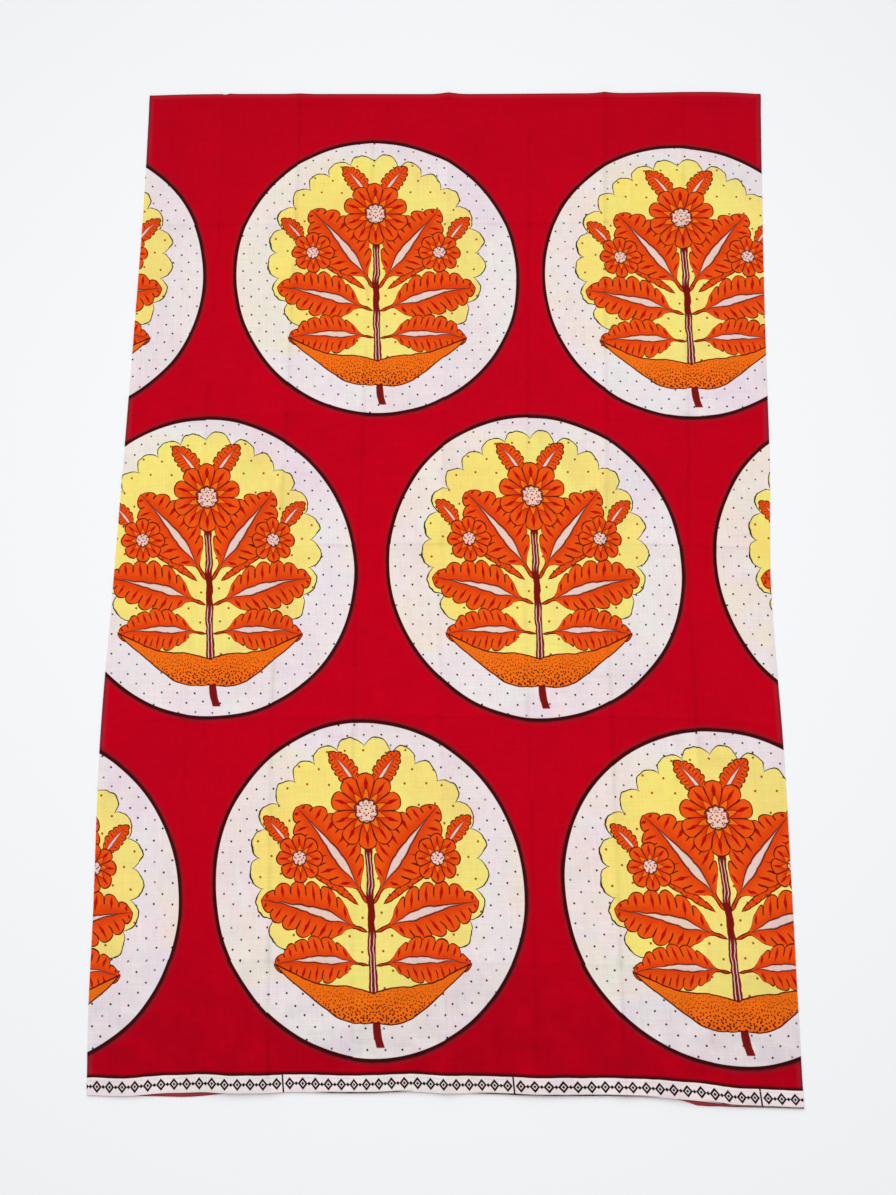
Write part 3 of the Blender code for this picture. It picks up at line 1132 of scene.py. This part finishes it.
def foot_strip(paint, colour, red, x, from_foot):
    """Paints the strip along the foot over the print: its line, its dividers and a row of lozenges, and
    stretches of dark line at the foot edge, partly printed and partly painted shadow between the layers.
    """
    hand = paint.noise(paint.vector(x, from_foot), 40.0, 2.0) - 0.5
    height = from_foot + hand * HAND_STRAY
    in_strip = height.below(STRIP_DEPTH, LINE_BLUR) * from_foot.above(0.0002, 0.0003)
    divider = ((x - FIRST_DIVIDER) / STRIP_REPEAT + from_foot * DIVIDER_LEAN).math("WRAP", 0.5, -0.5)
    colour = paint.mix(height.below(STRIP_DEPTH + STRIP_RED, LINE_BLUR), colour, red)
    colour = paint.mix(in_strip, colour, STRIP)
    colour = paint.mix(abs(divider).below(DIVIDER, 0.0016) * in_strip, colour, BLACK_LINE)

    lozenge = LOZENGES / STRIP_REPEAT
    across = abs(((x - FIRST_DIVIDER) * lozenge).part() - 0.5)
    up = abs(height - STRIP_DEPTH * 0.5)
    within = across / (LOZENGE_WIDTH * lozenge / 2) + up / (LOZENGE_HEIGHT / 2)
    ink = within.below(1.0, 0.10) - within.below(0.50, 0.10) + within.below(0.30, 0.10)
    pip = (0.5 - across) / lozenge + up
    ink = ink + pip.below(PIP, LINE_BLUR) * abs(divider).above(0.010, 0.001)
    colour = paint.mix(ink, colour, BLACK_LINE)
    line = height.above(STRIP_DEPTH, LINE_BLUR) * height.below(STRIP_DEPTH + STRIP_LINE, 0.0030)
    colour = paint.mix(line * 0.94, colour, BLACK_LINE)
    # partly printed line, partly painted shadow between the layers
    dark = sum(x.near(place, half, 0.02) for place, half in FOOT_LINE_AND_SHADOW) * (hand * 1.2 + 0.9)
    return paint.mix(from_foot.near(FOOT_LINE_UP, FOOT_LINE, 0.0004) * dark, colour, BLACK_LINE)


def under_tint(paint, spot):
    """What shows through from the layer beneath: its rounds and fields, blurred and patchy."""
    x, y, _ = paint.uv("under")
    round_x, round_y = place_in_round(x, y)
    loose = paint.noise(spot, 16.0, 2.0) * 0.05 - 0.025
    up = round_y - FIELD_UP * ROUND
    across = round_x * round_x
    far = (across + round_y * round_y).math("SQRT") + loose
    field = (across + up * up).math("SQRT") + loose
    tint = paint.mix(far.below(ROUND, UNDER_BLUR), UNDER_RED, UNDER_WHITE)
    tint = paint.mix(field.below(UNDER_FIELD, UNDER_BLUR), tint, UNDER_YELLOW)
    tint = paint.mix(field.below(UNDER_SPRIG, 0.04), tint, UNDER_LEAVES)
    touching = paint.noise(spot, 27.0, 2.0).above(0.42, 0.5)
    return paint.mix(touching, PLAIN, tint)


def laid_print(paint, spot, chances):
    """The place on the print, a little out where the cloth lies uneven and past each crease."""
    wander = paint.split(paint.noise(spot, 11.0, 1.0, output="Color"))
    slip = paint.split(chances)
    return [
        place + (loose - 0.5) * PRINT_WANDER + (panel - 0.5) * CREASE_SLIP
        for place, loose, panel in zip(paint.split(spot)[:2], wander, slip)
    ]


def panel_cast(paint, spot, chances):
    """Each pressed panel's own faint cast, soft clouds and a finer grain in it, and a mottled red."""
    _, green, blue = paint.split(chances)
    clouds = paint.noise(spot, 21.0, 5.0, 0.62, output="Color")
    panels = paint.mix(PANEL_CAST, PLAIN, paint.vector(1.0, green, blue))
    cast = paint.times(panels, paint.mix(CLOUDS, PLAIN, clouds))
    grain = paint.noise(spot, 130.0, 3.0, output="Color")
    cast = paint.times(cast, paint.mix(GRAIN, BRIGHT, grain))
    mottle = paint.noise(spot, 34.0, 6.0, 0.7)
    return paint.times(cast, paint.vector(mottle * -MOTTLE + (1 + MOTTLE / 2), 1.0, 1.0))


def crease_shade_lines(paint, spot, count, aside, half):
    """Painted shade: soft dark lines along the creases, each with its own strength, broken here and there.
    """
    strength = paint.add(
        "ShaderNodeTexWhiteNoise", {"noise_dimensions": "1D"}, output="Value", W=count.math("ROUND")
    )
    broken = paint.noise(spot, 30.0, 2.0).above(0.40, 0.30)
    return aside.below(half, half * 1.8) * broken * (strength * 0.09 + 0.03)


def wrinkle_shade(paint, x, y):
    """Painted shade along fine pressed wrinkles, soft at their ends."""
    shade_lines = 0.0
    here = paint.vector(x, y)
    for x0, y0, x1, y1, dark in WRINKLE_SHADES:
        length = math.hypot(x1 - x0, y1 - y0)
        turn = math.atan2(y1 - y0, x1 - x0)
        forward, aside, _ = paint.mapped(here, x0, y0, turn, length)
        line = aside.near(0.0, 0.0006 / length, 0.0012 / length)
        shade_lines = line * forward.near(0.5, 0.40, 0.20) * dark + shade_lines
    return shade_lines


def dullness_and_shade(paint, x, y, spot, from_foot, from_top, fold_x, fold_y):
    """How much the cloth is dulled: slubs both ways and dull patches towards the foot, with painted shade
    along the creases, where they cross, along fine wrinkles and along the top hem's stitch row.
    """
    by_upright, by_level, _ = paint.uv("creases")
    slubs = paint.noise(paint.vector(x * 1000.0, y * 22.0), 1.0, 2.0)
    slubs = slubs + paint.noise(paint.vector(x * 22.0, y * 1000.0), 1.0, 2.0)
    dull_and_shade = (slubs - 1.0) * SLUBS + wrinkle_shade(paint, x, y)
    # painted shade along the creases
    dull_and_shade = dull_and_shade + crease_shade_lines(paint, spot, fold_x, by_upright, UPRIGHT_SHADE)
    dull_and_shade = dull_and_shade + crease_shade_lines(paint, spot, fold_y, by_level, LEVEL_SHADE)
    # painted shade where two creases cross
    crossing_shade = by_upright.below(0.004, 0.006) * by_level.below(0.004, 0.006)
    patches = paint.noise(spot, 34.0, 3.0).above(0.46, 0.22) * from_foot.below(0.11, 0.09)
    # painted shade along the top hem's stitch row
    hem = from_top.near(TOP_ROW, 0.0010, 0.0014) * 0.03
    return dull_and_shade + crossing_shade * 0.07 + patches * 0.09 + hem


def ground_red(paint, fold_x, from_foot, from_top):
    """The red ground, with painted light: deeper towards the ends and sides as painted shade, a narrow
    painted shade line and a wider painted sheen along the rolled top edge and side folds, and a duller,
    paler turned margin of painted shade and sheen.
    """
    sides = abs(fold_x - PANELS / 2)
    # painted shade, deeper towards the ends and sides where the light falls off
    falloff_shade = from_foot.below(0.22, 0.36) + from_top.below(0.10, 0.26) * 0.5 + sides * sides * 0.019
    red = paint.mix(falloff_shade, RED_GROUND, RED_FALLOFF_SHADE)
    from_side = abs(PANELS / 2 - sides) * PANEL
    from_top = abs(from_top)
    # painted sheen beside the rolled top edge and the side folds
    edge_sheen = from_side.math("MINIMUM", from_top).below(0.0036, 0.0076)
    red = paint.mix(edge_sheen * 0.42, red, RED_EDGE_SHEEN)
    # painted shade and sheen on the back's turned margin below the front's foot edge
    red = paint.mix(from_foot.below(-0.0004, 0.0006) * 0.8, red, RED_MARGIN_SHADE_SHEEN)
    # painted shade in a narrow line along the rolled top edge and the side folds
    edge_shade = (from_side * 0.6).math("MINIMUM", from_top).below(0.0016, 0.0018)
    return paint.mix(edge_shade * 0.9, red, RED_EDGE_SHADE)


def printed_cotton():
    paint = Paint("printed_cotton", {
        "Specular IOR Level": 0.0,
        "Sheen Weight": 0.02,
        "Sheen Roughness": 0.6,
    })
    from_foot, from_top, _ = paint.uv("ends")
    fold_x, fold_y, _ = paint.uv("folds")
    spot = paint.add("ShaderNodeUVMap", {"uv_map": "print"})
    chances = paint.chances(paint.vector(fold_x.math("FLOOR"), fold_y.math("FLOOR")))
    x, y = laid_print(paint, spot, chances)

    round_x, round_y = place_in_round(x, y)
    hand = paint.noise(paint.vector(round_x, round_y), 55.0, 2.0) - 0.5
    colour = white_ring_and_field(paint, x, y, round_x, round_y, hand)
    colour = sprig(paint, colour, round_x, round_y, hand)

    red = ground_red(paint, fold_x, from_foot, from_top)
    far = from_nearest_round(x, y)
    past = hand * HAND_STRAY + far - ROUND
    line = paint.mix(past.below(ROUND_HALO, 0.0056) * 0.5, red, RED_BY_LINE)
    line = paint.mix(past.below(ROUND_LINE, 0.0022) * 0.92, line, BLACK_LINE)
    colour = paint.mix(far.below(ROUND, LINE_BLUR), line, colour)
    colour = paint.times(colour, under_tint(paint, spot))
    colour = foot_strip(paint, colour, red, x, from_foot)

    # slubs and patches towards the foot, with painted shade along creases, crossings, wrinkles and the top
    # hem's row
    dull_and_shade = dullness_and_shade(paint, x, y, spot, from_foot, from_top, fold_x, fold_y)
    colour = paint.times(colour, panel_cast(paint, spot, chances))
    colour = paint.times(colour, 1.0 - dull_and_shade)

    weave = (x * WEAVE).sine() * (y * WEAVE).sine()
    crinkle = paint.noise(spot, 70.0, 3.0) * CRINKLE + paint.noise(spot, 17.0, 1.0) * SOFT_SWELL
    paint.finish(weave * WEAVE_DEPTH + crinkle, Base_Color=colour, Roughness=weave * 0.05 + 0.86)
    return paint.material


def sewing_thread(name, shade):
    """Spun thread, its two plies turned round each other, with painted shade in the grooves of the twist,
    and a little uneven in colour.
    """
    paint = Paint(name, {"Specular IOR Level": 0.1, "Sheen Weight": 0.03, "Sheen Roughness": 0.5})
    spot = paint.add("ShaderNodeTexCoord", {}, output="Object")
    x, y, _ = paint.split(spot)
    turns = ((x + y) * TWIST).sine()
    # painted shade in the grooves of the twist, and a little unevenness of colour
    twist_shade_and_unevenness = (turns + 1.0) * 0.09 + paint.noise(spot, 260.0) * 0.16
    colour = paint.times(shade, 1.0 - twist_shade_and_unevenness)
    paint.finish(turns * TWIST_DEPTH, Base_Color=colour, Roughness=turns * 0.06 + 0.80)
    return paint.material


def stitch_rows():
    """A tree that sews stitches along the lines of a mesh."""
    tree = bpy.data.node_groups.new("stitch_rows", "GeometryNodeTree")
    inputs = (
        ("Lines", "Geometry"), ("Pitch", "Float"), ("Length", "Float"), ("Width", "Float"),
        ("Rise", "Float"), ("Seed", "Int"), ("Thread", "Material"),
    )
    for name, kind in inputs:
        tree.interface.new_socket(name, in_out="INPUT", socket_type="NodeSocket" + kind)
    tree.interface.new_socket("Stitches", in_out="OUTPUT", socket_type="NodeSocketGeometry")
    nodes = Nodes(tree)
    given = tree.nodes.new("NodeGroupInput")
    lines, pitch, length, width, rise, seed, thread = (
        Number(nodes, given.outputs[name]) for name, _ in inputs
    )
    path = nodes.add("GeometryNodeMeshToCurve", {}, Mesh=lines)
    places = nodes.add("GeometryNodeCurveToPoints", {"mode": "LENGTH"}, Curve=path, Length=pitch)
    tangent = Number(nodes, places.socket.node.outputs["Tangent"])
    turn = nodes.add("FunctionNodeAlignRotationToVector", {"axis": "X"}, Vector=tangent)
    loose = nodes.add(
        "FunctionNodeRandomValue", {"data_type": "FLOAT"}, output="Value", Min=0.86, Max=1.06, Seed=seed
    )
    bow = nodes.add(
        "GeometryNodeCurveQuadraticBezier", {}, Resolution=4,
        Start=nodes.vector(length * -0.5, 0.0, rise * -0.8),
        Middle=nodes.vector(0.0, 0.0, rise),
        End=nodes.vector(length * 0.5, 0.0, rise * -0.8),
    )
    ring = nodes.add(
        "GeometryNodeCurvePrimitiveCircle", {"mode": "RADIUS"}, Resolution=5, Radius=width * 0.5
    )
    stitch = nodes.add("GeometryNodeCurveToMesh", {}, bow, ring)
    stitch.socket.node.inputs["Fill Caps"].default_value = True
    sewn = nodes.add(
        "GeometryNodeInstanceOnPoints", {},
        Points=places, Instance=stitch, Rotation=turn, Scale=nodes.vector(loose, 1.0, 1.0),
    )
    sewn = nodes.add("GeometryNodeRealizeInstances", {}, Geometry=sewn)
    sewn = nodes.add("GeometryNodeSetMaterial", {}, Geometry=sewn, Material=thread)
    tree.links.new(sewn.socket, tree.nodes.new("NodeGroupOutput").inputs[0])
    return tree


def row_across(from_edge, at_top, back=False):
    """Points across the front or the back where a hem's stitches run."""
    inset = (TURN_UNDER + HEM_END if back else HEM_END) / FLAT_WIDTH
    s = inset + (1 - 2 * inset) * np.linspace(0, 1, 401)
    t = 0 * s + (1 - from_edge / LENGTH if at_top else from_edge / LENGTH)
    x, y = plan(s, t, back)
    return np.stack([x, y, 0 * s + THREAD_WIDTH / 2 if back else front_height(s, t)], axis=-1)


def row_up(side):
    """Points up the underside where the front's turned edge is sewn to the back."""
    t = np.linspace(HEM_END / LENGTH, 1 - HEM_END / LENGTH, 401)
    edge, y = plan(0 * t + (0 if side < 0 else 1), t)
    return np.stack([edge - side * SEAM_ROW, y, 0 * t + THREAD_WIDTH / 2], axis=-1)


def stitches(name, tree, thread, rise, lines):
    """One plain mesh of the stitches along some lines of points; a negative rise faces down."""
    points = np.concatenate(lines)
    ends = np.cumsum([len(line) for line in lines])
    edges = [(i, i + 1) for i in range(len(points) - 1) if i + 1 not in ends]
    mesh = bpy.data.meshes.new(name + "_lines")
    mesh.from_pydata(points.tolist(), edges, [])
    drawn = hang(name + "_lines", mesh)
    sewing = drawn.modifiers.new("stitches", "NODES")
    sewing.node_group = tree
    sizes = {
        "Pitch": STITCH_PITCH, "Length": STITCH_LENGTH, "Width": THREAD_WIDTH,
        "Rise": rise, "Seed": 11, "Thread": thread,
    }
    for socket in tree.interface.items_tree:
        if socket.in_out == "INPUT" and socket.name in sizes:
            sewing[socket.identifier] = sizes[socket.name]
    piece = plain_piece(name, drawn)
    piece.data.shade_smooth()
    place_piece(piece, thread, "sewing_thread")
    return piece


def place_piece(piece, material, slot, *nodes):
    piece.data.materials.clear()
    piece.data.materials.append(material)
    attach(piece, "root")
    if nodes:
        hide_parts(*nodes)


def build_cloth():
    cotton = printed_cotton()
    front = shell_object("front_cloth", front_sheet())
    back = shell_object("back_cloth", back_sheet())
    place_piece(front, cotton, "printed_cotton", "front_panel")
    place_piece(back, cotton, "printed_cotton", "back_panel")
    for end in ("top", "foot"):
        for face in ("front", "back"):
            hem = shell_object(f"{end}_hem_{face}_cloth", hem_sheet(end == "top", face == "front"))
            place_piece(hem, cotton, "turned_margin", f"{end}_hem_{face}")
    rows = sew_cloth()


def sew_cloth():
    """The stitches of the four hems and of the two side seams."""
    tree = stitch_rows()
    red, pale = sewing_thread("red_thread", THREAD_RED), sewing_thread("pale_thread", THREAD_PALE)
    rows = {"front": [], "back": []}
    for face, rise in (("front", STITCH_RISE), ("back", -STITCH_RISE)):
        for end, thread, from_edge in (("top", red, TOP_ROW), ("foot", pale, FOOT_ROW)):
            line = row_across(from_edge, end == "top", face == "back")
            rows[face].append(stitches(f"{end}_hem_{face}_stitches", tree, thread, rise, [line]))
    rows["front"].append(stitches("side_seam_stitches", tree, red, -STITCH_RISE, [row_up(-1), row_up(1)]))
    return rows


# The stage, the lamps and the camera
FLOOR_SIDE = 14
FLOOR_DROP = 0.0003  # so that no face of the cloth lies in the floor's own
FLOOR_PALE = (245, 246, 248)
SKY_COLOUR = (0.98, 0.99, 1.0, 1)
SKY_STRENGTH = 0.51
SOFTBOX_SIDE = 1.2
SOFTBOX_POWER = 12.9
SOFTBOX_PLACE = (-0.05, 0.14, 1.9)
WINDOW_SPREAD = math.radians(38)
WINDOW_POWER = 1.05
WINDOW_PLACE = (-1.5, 2.6, 2.4)
PHOTO_HEIGHT = 1195
FOCAL_PIXELS = 1200
CAMERA_TILT = math.radians(10.683)
CAMERA_DISTANCE = 1.35665
AIM = (0.00055, -0.04425, 0.0)


def build_stage():
    bpy.ops.mesh.primitive_plane_add(size=FLOOR_SIDE, location=(0, 0, -FLOOR_DROP))
    floor = bpy.context.object
    floor.name = "floor"
    paint = Paint("pale_floor", {"Roughness": 0.9, "Specular IOR Level": 0.1})
    paint.shader.inputs["Base Color"].default_value = linear(FLOOR_PALE)
    floor.data.materials.append(paint.material)


def place_light(lamp, power, place):
    """Hangs a lamp at a place, aimed at the middle of the cloth."""
    lamp.energy = power
    holder = hang(lamp.name, lamp)
    holder.location = place
    holder.rotation_euler = (-Vector(place)).to_track_quat("-Z", "Y").to_euler()


def build_light():
    world = bpy.data.worlds.new("studio")
    world.use_nodes = True
    sky = world.node_tree.nodes["Background"]
    sky.inputs["Color"].default_value = SKY_COLOUR
    sky.inputs["Strength"].default_value = SKY_STRENGTH
    bpy.context.scene.world = world

    softbox = bpy.data.lights.new("softbox", "AREA")
    softbox.shape = "RECTANGLE"
    softbox.size = softbox.size_y = SOFTBOX_SIDE
    place_light(softbox, SOFTBOX_POWER, SOFTBOX_PLACE)
    window = bpy.data.lights.new("window", "SUN")
    window.angle = WINDOW_SPREAD
    place_light(window, WINDOW_POWER, WINDOW_PLACE)
    bpy.context.scene.view_settings.view_transform = "Standard"


def build_camera():
    lens = bpy.data.cameras.new("camera")
    lens.sensor_width = 36
    lens.lens = FOCAL_PIXELS / PHOTO_HEIGHT * lens.sensor_width
    lens.clip_end = 50
    camera = hang("camera", lens)
    back_off = Vector((0, -math.sin(CAMERA_TILT), math.cos(CAMERA_TILT)))
    camera.location = Vector(AIM) + CAMERA_DISTANCE * back_off
    camera.rotation_euler = (CAMERA_TILT, 0, 0)
    bpy.context.scene.camera = camera


build_cloth()
build_stage()
build_light()
build_camera()
